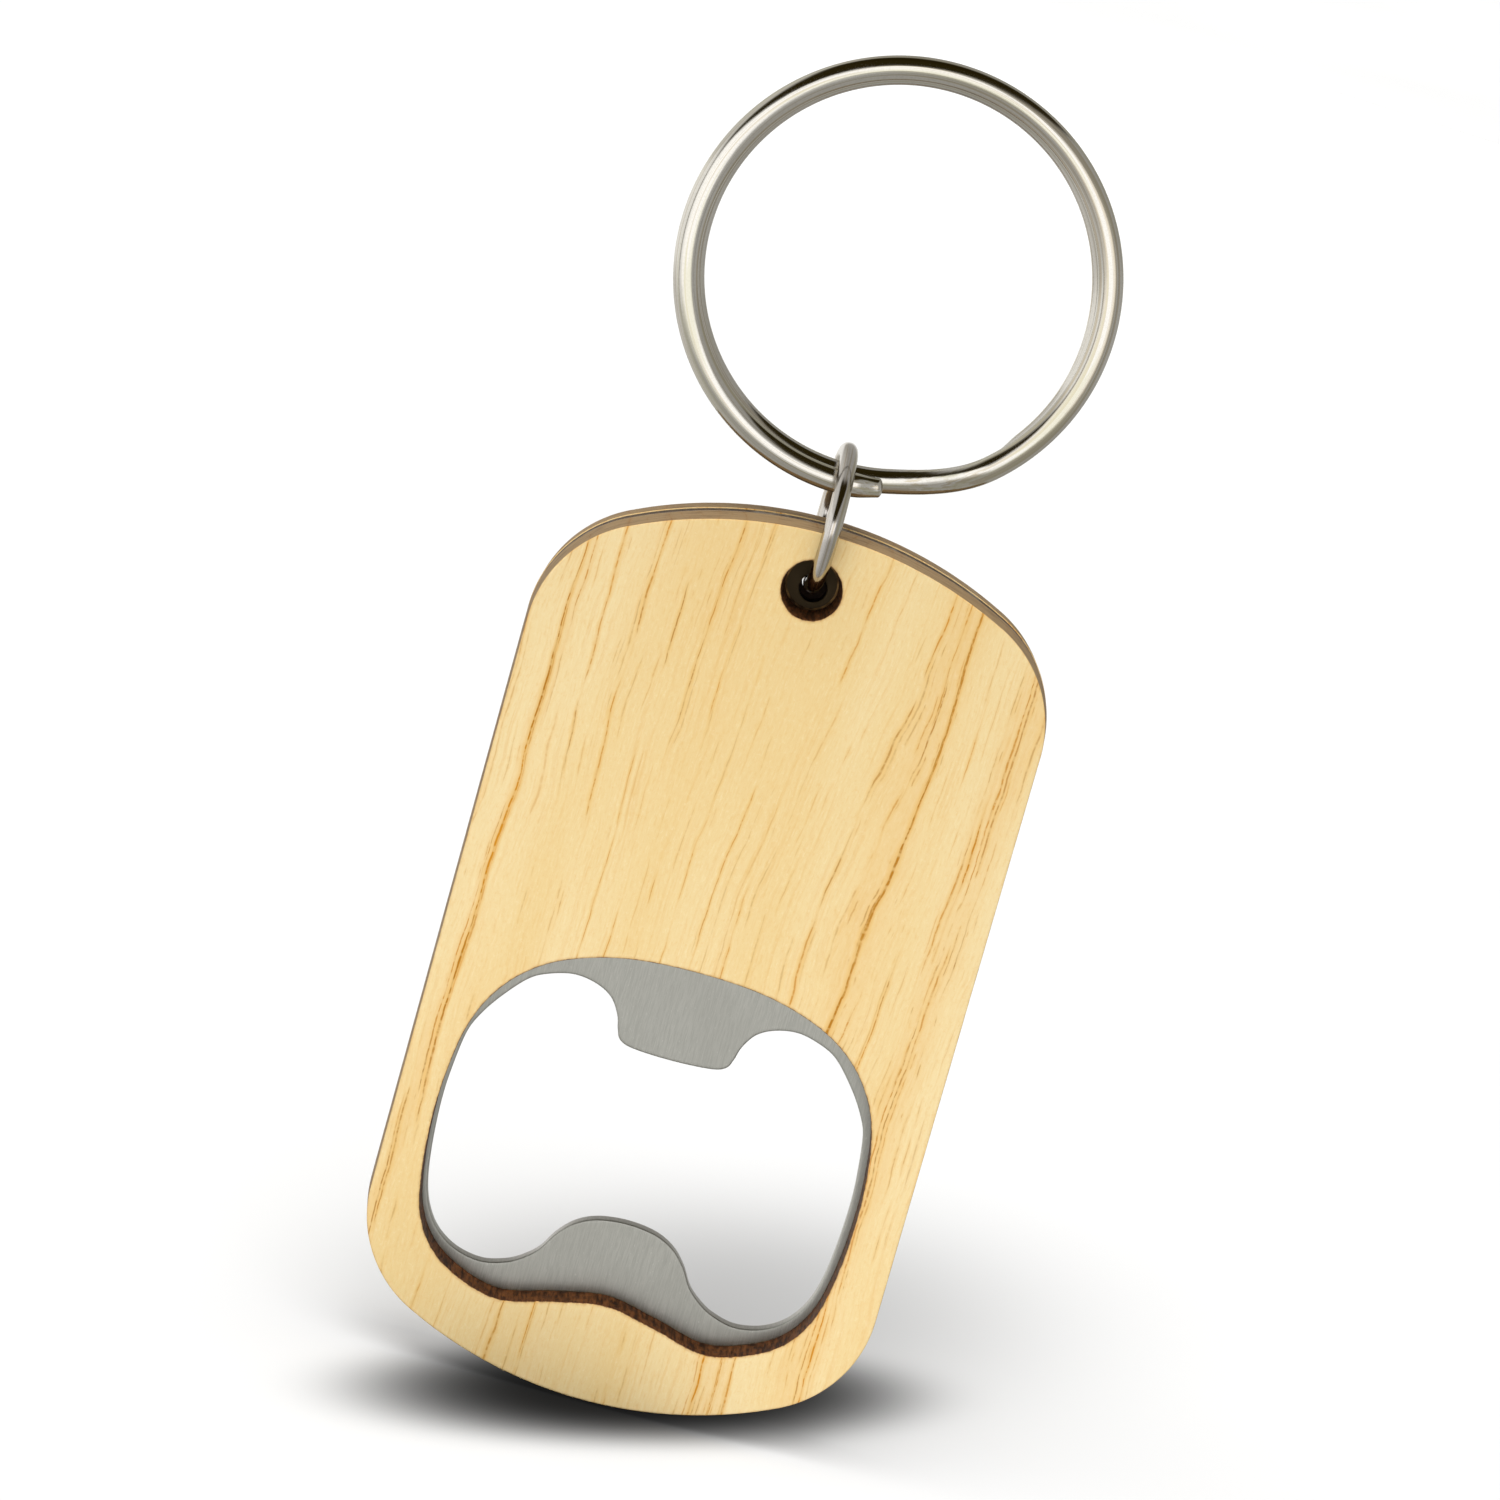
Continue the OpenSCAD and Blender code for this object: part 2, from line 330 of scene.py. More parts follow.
def key_ring_sections():
    """The split ring's wire: the front turn, the crossing, then the rear turn. Each section is
    nearly an oval, and s is how many degrees round the wire it lies."""
    wire_w, wire_t = 1.7, 0.85
    gap, step = 0.04, 0.38          # between the turns, and how much smaller the rear one is
    front_r = 14.15                 # from the ring's middle to the middle of the front turn
    # degrees from the ring's lowest point: the front end, the two ends of the crossing and the
    # rear end, and the length of the flare that takes the rear end outwards
    end, cross_a, cross_b, rear_end, flare = 11.5, 42, 13, 44, 65
    power = 2.08                    # 2 is an oval, and more is squarer
    centre_z = -(front_r - step - wire_w / 2)
    total = end - rear_end + 720
    s = np.concatenate([[0, 0.06, 0.15, 0.27, 0.4, 0.56, 0.75, 0.96, 1.2, 1.6, 2.1],
                        np.arange(2.75, total - 2.7, 0.75)])
    s = np.concatenate([s, total - s[:11][::-1]])
    cross = ease((s - (end - cross_a + 360)) / (cross_a - cross_b))
    tip = np.minimum(s, total - s)
    x = np.minimum(1, tip / 1.2)
    tip_round = np.maximum(0.3, np.sqrt(x * (2 - x)))
    pinch = ease(tip / 9)
    half_w = wire_w / 2 * (0.75 + 0.25 * pinch) * tip_round
    half_t = wire_t / 2 * (0.55 + 0.45 * pinch) * tip_round
    r0 = front_r - step * cross + 0.85 * step * ease((s - total + flare) / flare)
    y0 = (gap / 2 + half_t) * (2 * cross - 1)
    a = np.radians(end - s)
    t = np.arange(40) * 2 * math.pi / 40
    c, q = (np.sign(v) * np.abs(v) ** (2 / power) for v in (np.cos(t), np.sin(t)))
    r = r0[:, None] + half_w[:, None] * c
    y = y0[:, None] + half_t[:, None] * q
    return np.stack([r * np.sin(a)[:, None], y, centre_z - r * np.cos(a)[:, None]], -1)


def jump_ring_sections():
    """The jump ring's round wire, with its size and its turn taken from the CAD ring. It starts and
    ends at the seam, which lies at the rear."""
    p = np.array([v.co for v in frame["nodes"]["jump_ring"].data.vertices]) / MM
    centre = (p.min(0) + p.max(0)) / 2
    axis = np.linalg.svd(p - p.mean(0), full_matrices=False)[2][2]
    axis *= np.sign(axis[0])
    centre[0] = 0
    flat = p - centre - np.outer((p - centre) @ axis, axis)
    radii = np.linalg.norm(flat, axis=1)
    wire_r = (radii.max() - radii.min()) / 2
    ring_r = (radii.max() + radii.min()) / 2
    gap, seam = 1.4, 110            # degrees: the seam's width, and where it is
    rounding = 1.3                  # degrees over which each end is rounded off
    up = np.array([0, 0, 1.0])
    side = np.cross(axis, up)
    fillet = np.array([0, 0.25, 0.55, 0.9, rounding])
    a = np.concatenate([fillet, np.linspace(2.2, 360 - gap - 2.2, 300), 360 - gap - fillet[::-1]])
    d = np.minimum(a, 360 - gap - a) / rounding
    shrink = 1 - 0.14 * (1 - np.sqrt(np.clip(d * (2 - d), 0, 1))) * (d < 1)
    t = np.arange(36) * 2 * math.pi / 36
    out = []
    for ang, k in zip(a, shrink):
        w = math.radians(-90 + seam + ang)
        radial = -math.sin(w + math.pi / 2) * up + -math.cos(w + math.pi / 2) * side
        radial = radial / np.linalg.norm(radial)
        out.append(centre + radial * (ring_r + wire_r * k * np.cos(t))[:, None]
                   + axis * (wire_r * k * np.sin(t))[:, None])
    return np.array(out)


# ---------------------------------------------------------------- materials

class Nodes:
    """A few short names for building a node tree."""

    def __init__(self, name):
        self.mat = bpy.data.materials.new(name)
        self.mat.use_nodes = True
        self.tree = self.mat.node_tree
        self.tree.nodes.clear()

    def add(self, kind, *values, **settings):
        node = self.tree.nodes.new(kind)
        for k, v in settings.items():
            setattr(node, k, v)
        for i, v in enumerate(values):
            self.put(node.inputs[i], v)
        return node.outputs[0]

    def put(self, socket, v):
        """Feeds a socket from a node's output, or gives it a constant."""
        if isinstance(v, bpy.types.NodeSocket):
            self.tree.links.new(v, socket)
        elif v is not None:
            if socket.type == "RGBA" and len(v) == 3:
                v = (*v, 1)
            socket.default_value = v

    def math(self, op, a, b=None, clamp=False):
        return self.add("ShaderNodeMath", a, b, operation=op, use_clamp=clamp)

    def mul(self, a, b):
        return self.math("MULTIPLY", a, b)

    def plus(self, a, b):
        return self.math("ADD", a, b)

    def minus(self, a, b):
        return self.math("SUBTRACT", a, b)

    def length(self, a, b):
        return self.math("SQRT", self.plus(self.mul(a, a), self.mul(b, b)))

    def fit(self, v, a, b, lo=0.0, hi=1.0, smooth=True):
        """lo where v is a and hi where v is b, with a smooth or a straight change between."""
        node = self.tree.nodes.new("ShaderNodeMapRange")
        node.interpolation_type = "SMOOTHSTEP" if smooth else "LINEAR"
        for i, x in enumerate((v, a, b, lo, hi)):
            self.put(node.inputs[i], x)
        return node.outputs[0]

    def mix(self, f, a, b):
        node = self.tree.nodes.new("ShaderNodeMix")
        node.data_type = "RGBA"
        self.put(node.inputs[0], f)
        self.put(node.inputs[6], a)
        self.put(node.inputs[7], b)
        return node.outputs[2]

    def noise(self, where, scale, detail, rough=0.5):
        """Noise at the coordinates, each one multiplied by its own scale."""
        axes = [c if k == 1 else self.mul(c, k) for c, k in zip(where, scale)]
        vector = self.add("ShaderNodeCombineXYZ", *axes)
        node = self.tree.nodes.new("ShaderNodeTexNoise")
        self.put(node.inputs["Vector"], vector)
        for k, v in (("Scale", 1), ("Detail", detail), ("Roughness", rough), ("Distortion", 0)):
            node.inputs[k].default_value = v
        return node.outputs[0]

    def place(self, shift=(0, 0, 0)):
        """The object's own coordinates in mm, moved by shift."""
        where = self.tree.nodes.new("ShaderNodeTexCoord").outputs["Object"]
        node = self.tree.nodes.new("ShaderNodeMapping")
        self.put(node.inputs[0], where)
        node.inputs["Location"].default_value = shift
        node.inputs["Scale"].default_value = (1000, 1000, 1000)
        split = self.tree.nodes.new("ShaderNodeSeparateXYZ")
        self.put(split.inputs[0], node.outputs[0])
        return split.outputs

    def bump(self, height, distance, strength=1.0, normal=None):
        node = self.tree.nodes.new("ShaderNodeBump")
        node.inputs["Strength"].default_value = strength
        node.inputs["Distance"].default_value = distance * MM
        self.put(node.inputs["Height"], height)
        if normal is not None:
            self.put(node.inputs["Normal"], normal)
        return node.outputs[0]

    def attribute(self, name):
        node = self.tree.nodes.new("ShaderNodeAttribute")
        node.attribute_name = name
        return node.outputs["Fac"]

    def finish(self, color, rough, normal=None, metallic=0.0, specular=0.5, **fixed):
        node = self.tree.nodes.new("ShaderNodeBsdfPrincipled")
        self.put(node.inputs["Base Color"], color)
        self.put(node.inputs["Roughness"], rough)
        node.inputs["Metallic"].default_value = metallic
        node.inputs["Specular IOR Level"].default_value = specular
        for k, v in fixed.items():
            node.inputs[k.replace("_", " ")].default_value = v
        if normal is not None:
            self.put(node.inputs["Normal"], normal)
        end = self.tree.nodes.new("ShaderNodeOutputMaterial")
        self.tree.links.new(node.outputs[0], end.inputs[0])
        return self.mat


def srgb(r, g, b):
    """An 8-bit display colour as linear light."""
    def one(v):
        v /= 255
        return v / 12.92 if v <= 0.04045 else ((v + 0.055) / 1.055) ** 2.4
    return one(r), one(g), one(b)


WOOD_PALE, WOOD_GOLD, WOOD_LIGHT = srgb(238, 215, 163), srgb(234, 206, 147), srgb(245, 229, 186)
WOOD_TAN, WOOD_BROWN, WOOD_ORANGE = srgb(228, 184, 112), srgb(180, 116, 8), srgb(206, 134, 10)
WOOD_HALO = srgb(230, 184, 104)


# Each row is one set of grain lines: how far apart they are, how wide and how long, the level that
# keeps the rest out, and a seed; then its strength everywhere and what a cluster adds.
GRAIN_LINES = (((0.52, 0.07, 3.4, 0.61, 8.3), 0.17, 0.4),
               ((1.05, 0.09, 9.0, 0.51, 4.9), 0.3, 0.42),
               ((2.3, 0.105, 14.0, 0.50, 1.7), 0.68, 0.32),
               ((0.85, 0.085, 16.0, 0.555, 2.9), 0.04, 0.75))


def wood_grain(m, shift, bands=()):
    """Pale wood whose grain runs along Z: its colour, its fibres, and the coordinates in mm. The
    lines crowd together in the bands, each a middle and a half width across the grain."""
    x, y, z = m.place(shift)
    drift = m.noise((x, y, z), (0.045, 0.045, 0.016), 1)
    bend = m.noise((x, y, z), (0.13, 0.13, 0.13), 2)
    wiggle = m.noise((x, y, z), (1.2, 1.2, 0.7), 3, 0.6)
    across = m.minus(x, m.mul(z, 0.045))
    for n, amount in ((drift, 7.5), (bend, 0.85), (wiggle, 0.17)):
        across = m.plus(across, m.mul(m.minus(n, 0.5), amount))
    spread = m.noise((x, y, z), (0.13, 0.13, 0.012), 1)
    cluster = m.fit(m.noise((across, y, z), (0.17, 0.2, 0.03), 1), 0.5, 0.68)
    cluster = m.mul(cluster, 0.35)
    straight = m.plus(m.minus(x, m.mul(z, 0.05)), m.mul(m.minus(bend, 0.5), 1.6))
    for middle, half in bands:
        off = m.math("ABSOLUTE", m.minus(straight, middle + shift[0] + (60 - shift[2]) * 0.05))
        cluster = m.math("MAXIMUM", cluster, m.fit(off, half, half * 0.35))

    def lines(spacing, width, reach, keep, seed):
        """Thin lines along the grain, each broken up along its length: their core, their soft
        edge and their colour."""
        field = m.plus(m.mul(across, 1 / spacing), m.mul(spread, 2.6 / spacing))
        near = m.mul(m.math("ABSOLUTE", m.minus(m.math("FRACT", field), 0.5)), spacing)
        own = m.mul(m.math("FLOOR", field), 7.31)
        here = m.noise((m.plus(own, seed), y, z), (1, 0.3, 1 / reach), 3, 0.6)
        here = m.plus(here, m.mul(cluster, 0.095))
        dots = m.noise((m.plus(own, 9 + seed), y, z), (1, 2, 1.9), 2)
        dots = m.fit(dots, 0.36, 0.56, 0.3)
        thick = m.fit(here, keep - 0.02, keep + 0.2, 0.35, 1.0, False)
        off = m.math("DIVIDE", near, thick)
        present = m.fit(here, keep, keep + 0.07)
        core = m.mul(m.mul(m.fit(off, width, width * 0.3), present), dots)
        edge = m.mul(m.fit(off, width * 4.0, width * 0.4), m.fit(here, keep - 0.05, keep + 0.1))
        tint = m.fit(m.noise((own, 3.3, z), (1, 1, 0.06), 1), 0.4, 0.6)
        return core, edge, m.mix(tint, WOOD_BROWN, WOOD_ORANGE)

    fibre = m.noise((across, y, z), (8.5, 8.5, 1.1), 3, 0.65)
    long_fibre = m.noise((across, y, z), (3.2, 3.2, 0.09), 3, 0.6)
    speckle = m.noise((x, y, z), (4.5, 4.5, 3.2), 3, 0.7)
    broad = m.noise((across, y, z), (0.14, 0.14, 0.02), 2)
    color = m.mix(m.fit(broad, 0.36, 0.66), WOOD_PALE, WOOD_GOLD)
    color = m.mix(m.mul(m.fit(long_fibre, 0.5, 0.78), 0.4), color, WOOD_TAN)
    color = m.mix(m.mul(m.fit(fibre, 0.5, 0.8), 0.36), color, WOOD_TAN)
    color = m.mix(m.mul(m.fit(fibre, 0.48, 0.2), 0.36), color, WOOD_LIGHT)
    color = m.mix(m.mul(m.fit(speckle, 0.52, 0.75), 0.28), color, WOOD_TAN)
    color = m.mix(m.mul(m.fit(speckle, 0.46, 0.25), 0.3), color, WOOD_LIGHT)
    color = m.mix(m.mul(cluster, 0.26), color, WOOD_TAN)
    for grid, weight, crowd in GRAIN_LINES:
        core, edge, tone = lines(*grid)
        color = m.mix(m.mul(edge, m.plus(0.7 * weight, m.mul(cluster, 0.12))), color, WOOD_HALO)
        color = m.mix(m.mul(core, m.plus(weight, m.mul(cluster, crowd))), color, tone)
    return color, fibre, (x, y, z)


def wood_face(name, shift, bands):
    """The wood's flat side, scorched where the cutter's heat reached it."""
    m = Nodes(name)
    color, fibre, (x, y, z) = wood_grain(m, shift, bands)
    char = m.attribute("char")
    uneven = m.noise((x, y, z), (3, 3, 2.2), 3, 0.6)
    burn = m.math("MULTIPLY", char, m.fit(uneven, 0.25, 0.7, 0.5, 1.35, False), clamp=True)
    color = m.mix(m.fit(burn, 0.05, 0.55, 0, 0.5), color, srgb(196, 140, 74))
    color = m.mix(m.fit(burn, 0.5, 0.95, 0, 0.9), color, srgb(84, 52, 34))
    rough = m.fit(fibre, 0.2, 0.8, 0.5, 0.66, False)
    return m.finish(color, rough, m.bump(m.mul(fibre, 0.5), 0.012, 0.4), specular=0.25)


def wood_edge(name, shift):
    """The outside cut of the wood: grey-brown from the cutter, with the grain faint under it."""
    m = Nodes(name)
    color, _, (x, y, z) = wood_grain(m, shift)
    darkening = m.noise((x, y, z), (0.7, 1.3, 0.7), 3, 0.6)
    ridges = m.noise((x, y, z), (5, 0.5, 5), 3, 0.6)
    layer = m.noise((x, y, z), (0.35, 4.2, 0.35), 3, 0.6)
    color = m.mix(0.86, color, srgb(122, 98, 72))
    color = m.mix(m.mul(m.fit(layer, 0.45, 0.7), 0.45), color, srgb(92, 70, 50))
    color = m.mix(m.mul(m.fit(darkening, 0.5, 0.75), 0.4), color, srgb(86, 64, 46))
    color = m.mix(m.mul(m.fit(ridges, 0.55, 0.8), 0.35), color, srgb(150, 124, 92))
    return m.finish(color, 0.72, m.bump(ridges, 0.03, 0.5), specular=0.25)


def wood_burnt(name, shift):
    """The inside cuts of the wood, burnt dark."""
    m = Nodes(name)
    x, y, z = m.place(shift)
    ridges = m.noise((x, y, z), (4.5, 0.6, 4.5), 4, 0.65)
    patch = m.noise((x, y, z), (1.1, 1.6, 1.1), 3, 0.6)
    color = m.mix(m.fit(ridges, 0.34, 0.66), srgb(36, 20, 10), srgb(100, 62, 34))
    color = m.mix(m.mul(m.fit(patch, 0.54, 0.75), 0.45), color, srgb(126, 82, 46))
    color = m.mix(m.mul(m.fit(patch, 0.48, 0.25), 0.7), color, srgb(24, 14, 8))
    rough = m.fit(patch, 0.3, 0.7, 0.6, 0.8, False)
    return m.finish(color, rough, m.bump(ridges, 0.1, 0.9), specular=0.25)


def steel_face(name, hole):
    """Brushed steel: fine short lines along Z, small bright specks, and a darker, rougher brown
    ring round the hole.
    """
    m = Nodes(name)
    x, y, z = m.place()
    brush = m.noise((x, y, z), (15, 15, 0.9), 4, 0.7)
    streak = m.noise((x, y, z), (5, 5, 0.3), 3, 0.6)
    speck = m.noise((x, y, z), (6.5, 6, 3.2), 2, 0.6)
    cloud = m.noise((x, y, z), (0.3, 0.3, 0.2), 2)
    color = m.mix(m.fit(brush, 0.3, 0.7), (0.35, 0.352, 0.328), (0.47, 0.472, 0.444))
    color = m.mix(m.mul(m.fit(streak, 0.48, 0.74), 0.22), color, (0.48, 0.48, 0.455))
    color = m.mix(m.mul(m.fit(speck, 0.62, 0.74), 0.5), color, (0.62, 0.62, 0.59))
    color = m.mix(m.mul(m.fit(cloud, 0.4, 0.65), 0.2), color, (0.35, 0.35, 0.325))
    # a dark brown ring painted round the hole, where the steel lies at the bottom of the wood's
    # hole
    away = m.length(m.minus(x, hole[0]), m.minus(z, hole[1]))
    darkening = m.fit(away, 2.25, 1.95)
    color = m.mix(darkening, color, (0.155, 0.115, 0.065))
    rough = m.math("MAXIMUM", m.fit(brush, 0.25, 0.75, 0.36, 0.46, False), m.mul(darkening, 0.8))
    return m.finish(color, rough, m.bump(brush, 0.01, 0.3), metallic=1.0)


def steel_edge(name):
    """The bare cut of the steel round the mouth."""
    m = Nodes(name)
    x, y, z = m.place()
    lines = m.noise((x, y, z), (6, 1.2, 6), 3, 0.6)
    color = m.mix(m.fit(lines, 0.3, 0.7), (0.26, 0.255, 0.24), (0.40, 0.39, 0.37))
    rough = m.fit(lines, 0.3, 0.7, 0.32, 0.48, False)
    return m.finish(color, rough, m.bump(lines, 0.02, 0.5), metallic=1.0)


def steel_dark_cut(name, hole):
    """The steel's outside cut and its small hole: dark brown-grey with paler patches, and near
    black in the small hole as painted shade.
    """
    m = Nodes(name)
    x, y, z = m.place()
    lines = m.noise((x, y, z), (3, 0.8, 3), 3, 0.6)
    patch = m.noise((x, y, z), (0.6, 0.6, 0.6), 2)
    color = m.mix(m.fit(lines, 0.3, 0.7), srgb(62, 48, 38), srgb(104, 88, 72))
    color = m.mix(m.mul(m.fit(patch, 0.52, 0.7), 0.6), color, srgb(160, 150, 136))
    # painted shade: the wall of the small hole is painted near black
    shade_in_hole = m.math("LESS_THAN", m.length(x, m.minus(z, hole[1])), 3.0)
    color = m.mix(shade_in_hole, color, (0.006, 0.004, 0.003))
    rough = m.fit(lines, 0.3, 0.7, 0.55, 0.75, False)
    return m.finish(color, rough, m.bump(lines, 0.02, 0.5), metallic=0.4, specular=0.1)


def nickel(name, warm, rough, middle, turned=False):
    """Bright nickel with fine draw marks that run round the ring, whose middle is at the height
    middle. A turned ring lies across X instead of Y."""
    m = Nodes(name)
    x, y, z = m.place()
    if turned:
        x, y = y, x
    around = m.length(x, m.minus(z, middle))
    drawn = m.noise((around, y, x), (6.5, 6.5, 0.05), 3, 0.6)
    olive = m.noise((around, y, z), (2.4, 2.4, 0.07), 2, 0.6)
    wave = m.noise((x, y, z), (0.35, 0.5, 0.35), 2)
    grain = m.noise((x, y, z), (7, 7, 7), 3, 0.6)
    dull = tuple(c * k for c, k in zip(warm, (0.72, 0.64, 0.5)))
    tarnish = tuple(c * k for c, k in zip(warm, (0.8, 0.79, 0.6)))
    color = m.mix(m.fit(grain, 0.4, 0.7), warm, tuple(c * 0.93 for c in warm))
    color = m.mix(m.mul(m.fit(drawn, 0.48, 0.6), 0.7), color, dull)
    color = m.mix(m.mul(m.fit(olive, 0.5, 0.62), 0.5), color, tarnish)
    r = m.plus(m.fit(wave, 0.3, 0.7, rough * 0.8, rough * 1.25, False),
               m.mul(m.fit(grain, 0.5, 0.75), 0.03))
    normal = m.bump(drawn, 0.008, 0.5, m.bump(wave, 0.02, 0.5))
    return m.finish(color, r, normal, metallic=1.0)


def adhesive(name, hole, lip):
    """Dark glue film, with a paler broken lip round the hole if lip is true."""
    m = Nodes(name)
    x, y, z = m.place()
    mottle = m.noise((x, y, z), (2, 2, 2), 3)
    color = m.mix(m.fit(mottle, 0.3, 0.7), srgb(26, 18, 13), srgb(44, 30, 21))
    away = m.length(m.minus(x, hole[0]), m.minus(z, hole[1]))
    if lip:
        patch = m.noise((x, y, z), (0.55, 0.5, 0.55), 2)
        pale = m.mul(m.fit(away, 2.2, 1.95), m.fit(patch, 0.44, 0.58, 0.05, 0.9))
        color = m.mix(pale, color, srgb(160, 124, 78))
    rough = m.fit(mottle, 0.3, 0.7, 0.6, 0.8, False)
    return m.finish(color, rough, m.bump(mottle, 0.02, 0.4), specular=0.1)


# the mask of a painted shadow on the floor
def soft_oval(m, x, y, middle, angle, radii, power):
    """1 in the middle of an oval on the floor and 0 well outside it. A higher power gives it a
    flatter middle and a shorter edge."""
    c, s = math.cos(math.radians(angle)), math.sin(math.radians(angle))
    x, y = m.minus(x, middle[0]), m.minus(y, middle[1])
    u = m.plus(m.mul(x, c / radii[0]), m.mul(y, s / radii[0]))
    v = m.minus(m.mul(y, c / radii[1]), m.mul(x, s / radii[1]))
    far = m.math("POWER", m.plus(m.mul(u, u), m.mul(v, v)), power)
    return m.math("EXPONENT", m.mul(far, -1))


GLOW = 0.6              # how much of the floor's white is its own light, so that the cast
                        # shadow stays pale
SHADOWS = ((((9, 28), 61, (38, 18), 1.3), 0.4),         # the faint painted shadow behind
           (((4.0, 3.0), 45, (26.5, 9), 2.9), 0.995))   # the dark painted shadow under the object


def floor_material():
    """White, with painted shadows: a soft dark oval where the object stands and a faint one behind
    it. SHADOWS holds each oval's middle, angle, radii and power, and how dark it is."""
    m = Nodes("floor")
    x, y, _ = m.place()
    cloud = m.noise((x, y, 0.0), (0.01, 0.01, 1), 2)
    color = m.mix(m.fit(cloud, 0.3, 0.7), (0.90, 0.90, 0.895), (0.93, 0.93, 0.925))
    # painted shadows: each oval darkens the floor's colour and its own light
    for oval, dark in SHADOWS:
        color = m.mix(m.mul(soft_oval(m, x, y, *oval), dark), color, (0.01, 0.01, 0.01))
    m.finish(m.mix(GLOW, color, (0, 0, 0)), 0.85, specular=0.0, Emission_Strength=GLOW * 1.05)
    shader = next(n for n in m.tree.nodes if n.type == "BSDF_PRINCIPLED")
    m.put(shader.inputs["Emission Color"], color)
    return m.mat


# ---------------------------------------------------------------- the pieces

def put_on(obj, node, slot_name, *materials):
    """Gives a piece its materials, and lets it stand for a CAD node on that node's body."""
    for mat in materials:
        obj.data.materials.append(mat)
    bodies = frame["record"]["behaviour"]["bodies"]
    body = next(b for b, members in bodies.items() if node in members)
    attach(obj, body)
    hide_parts(node)


front_y = node_y("front_wood_plate")
rear_y = node_y("rear_wood_plate")
wood_hole = rim_loops("front_wood_plate")[-1]
hole_at = tuple((wood_hole.min(0) + wood_hole.max(0)) / 2)

# each plate's ripple seed, outer face, shift into the wood, and bands of crowded grain
WOOD_PLATES = (
    ("front_wood_plate", 3, front_y[0], (41.0, 3.0, 12.0), ((9.4, 2.0), (15.2, 1.7), (-16.0, 0.7))),
    ("rear_wood_plate", 31, rear_y[1], (-63.0, 22.0, 140.0), ((-6.0, 2.0), (12.5, 1.5))))
for node, seed, outer, shift, bands in WOOD_PLATES:
    side = node.split("_")[0]
    o = wood_plate(node, seed, outer)
    put_on(o, node, "wood", wood_face(f"{side}_wood_face", shift, bands),
           wood_edge(f"{side}_wood_edge", shift), wood_burnt(f"{side}_wood_burnt", shift))

y0, y1 = node_y("steel_opener_plate")
steel = plate("steel_opener", node_loops("steel_opener_plate", 0.2, 96), y0, y1, STEEL_PROFILE,
              (2, 1, 2))
put_on(steel, "steel_opener_plate", "steel", steel_face("brushed_steel", hole_at),
       steel_edge("cut_steel"), steel_dark_cut("dark_cut_steel", hole_at))

FRONT_FILM_HOLE = 1.68  # its radius
REAR_FILM_GAP = 0.045   # between the film and the jump ring's wire, which has to stay clear of it
                        # over the whole swing
jump_sections = jump_ring_sections()
for node in ("front_adhesive_film", "rear_adhesive_film"):
    y0, y1 = node_y(node)
    loops = node_loops(node, 0.4, 96)
    if node.startswith("rear"):
        wire = jump_sections.mean(1)             # the hole closes round the jump ring's wire, so the small hole shows the dark film instead of the white behind; the closed film stands in for shade in the hole
        low = wire[wire[:, 2] < wire[:, 2].min() + 1]
        low = low[np.argsort(low[:, 1])]
        at = [np.interp((y0 + y1) / 2, low[:, 1], low[:, k]) for k in (0, 2)]
        half_way = len(wire) // 2                # the sections near the seam are smaller
        wire_r = np.linalg.norm(jump_sections[half_way] - wire[half_way], axis=1).max()
        loops[-1] = round_hole(loops[-1], at, wire_r + REAR_FILM_GAP)
    else:
        loops[-1] = round_hole(loops[-1], loops[-1].mean(0), FRONT_FILM_HOLE)
    film = plate(node.replace("_film", ""), loops, y0, y1, FILM_PROFILE, (0, 0, 0))
    put_on(film, node, "adhesive", adhesive(node, hole_at, node.startswith("front")))

key_middle = sum(c.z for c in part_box("key_ring")) / 2 / MM
jump_middle = sum(c.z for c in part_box("jump_ring")) / 2 / MM
key = sweep("split_key_ring", key_ring_sections())
put_on(key, "key_ring", "nickel",
       nickel("key_ring_nickel", (0.54, 0.525, 0.495), 0.11, key_middle))
jump = sweep("round_jump_ring", jump_sections)
put_on(jump, "jump_ring", "nickel",
       nickel("jump_ring_nickel", (0.5, 0.48, 0.465), 0.12, jump_middle, True))


# ---------------------------------------------------------------- floor, light and camera

body_lo, body_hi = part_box("front_wood_plate")
centre = Vector((0, 0, (body_lo.z + body_hi.z) / 2))

FLOOR_GAP = 0.05        # below the object
bpy.ops.mesh.primitive_circle_add(vertices=96, radius=6, fill_type="NGON",
                                  location=(0, 0, body_lo.z - FLOOR_GAP * MM))
floor = bpy.context.object
floor.name = "floor"
floor.visible_glossy = False
floor.data.materials.append(floor_material())


def area(name, at, size, power, toward=(0, 0, 0), spread=180):
    """A rectangular lamp that reflections don't show. Its place and its aim are in metres from
    the body's middle."""
    data = bpy.data.lights.new(name, "AREA")
    data.shape = "RECTANGLE"
    data.size, data.size_y = size
    data.energy = power
    data.spread = math.radians(spread)
    o = linked(name, data)
    o.location = centre + Vector(at)
    aim = Vector(toward) + centre - o.location
    o.rotation_euler = aim.to_track_quat("-Z", "Y").to_euler()
    o.visible_camera = False
    o.visible_glossy = False


area("front_softbox", (-0.30, -0.93, -0.03), (0.5, 0.3), 0.62)
area("back_softbox", (0.35, 0.92, 0.05), (0.5, 0.3), 3.0)
area("low_fill", (0.0, -0.4, 0.03), (0.12, 0.04), 0.006, toward=(0, 0, -0.03), spread=24)

sun_data = bpy.data.lights.new("soft_sun", "SUN")
sun_data.energy = 3.5
sun_data.angle = math.radians(50)
sun = linked("soft_sun", sun_data)
sun.rotation_euler = Vector((0.18, 0.36, -1)).to_track_quat("-Z", "Y").to_euler()
sun.visible_glossy = False


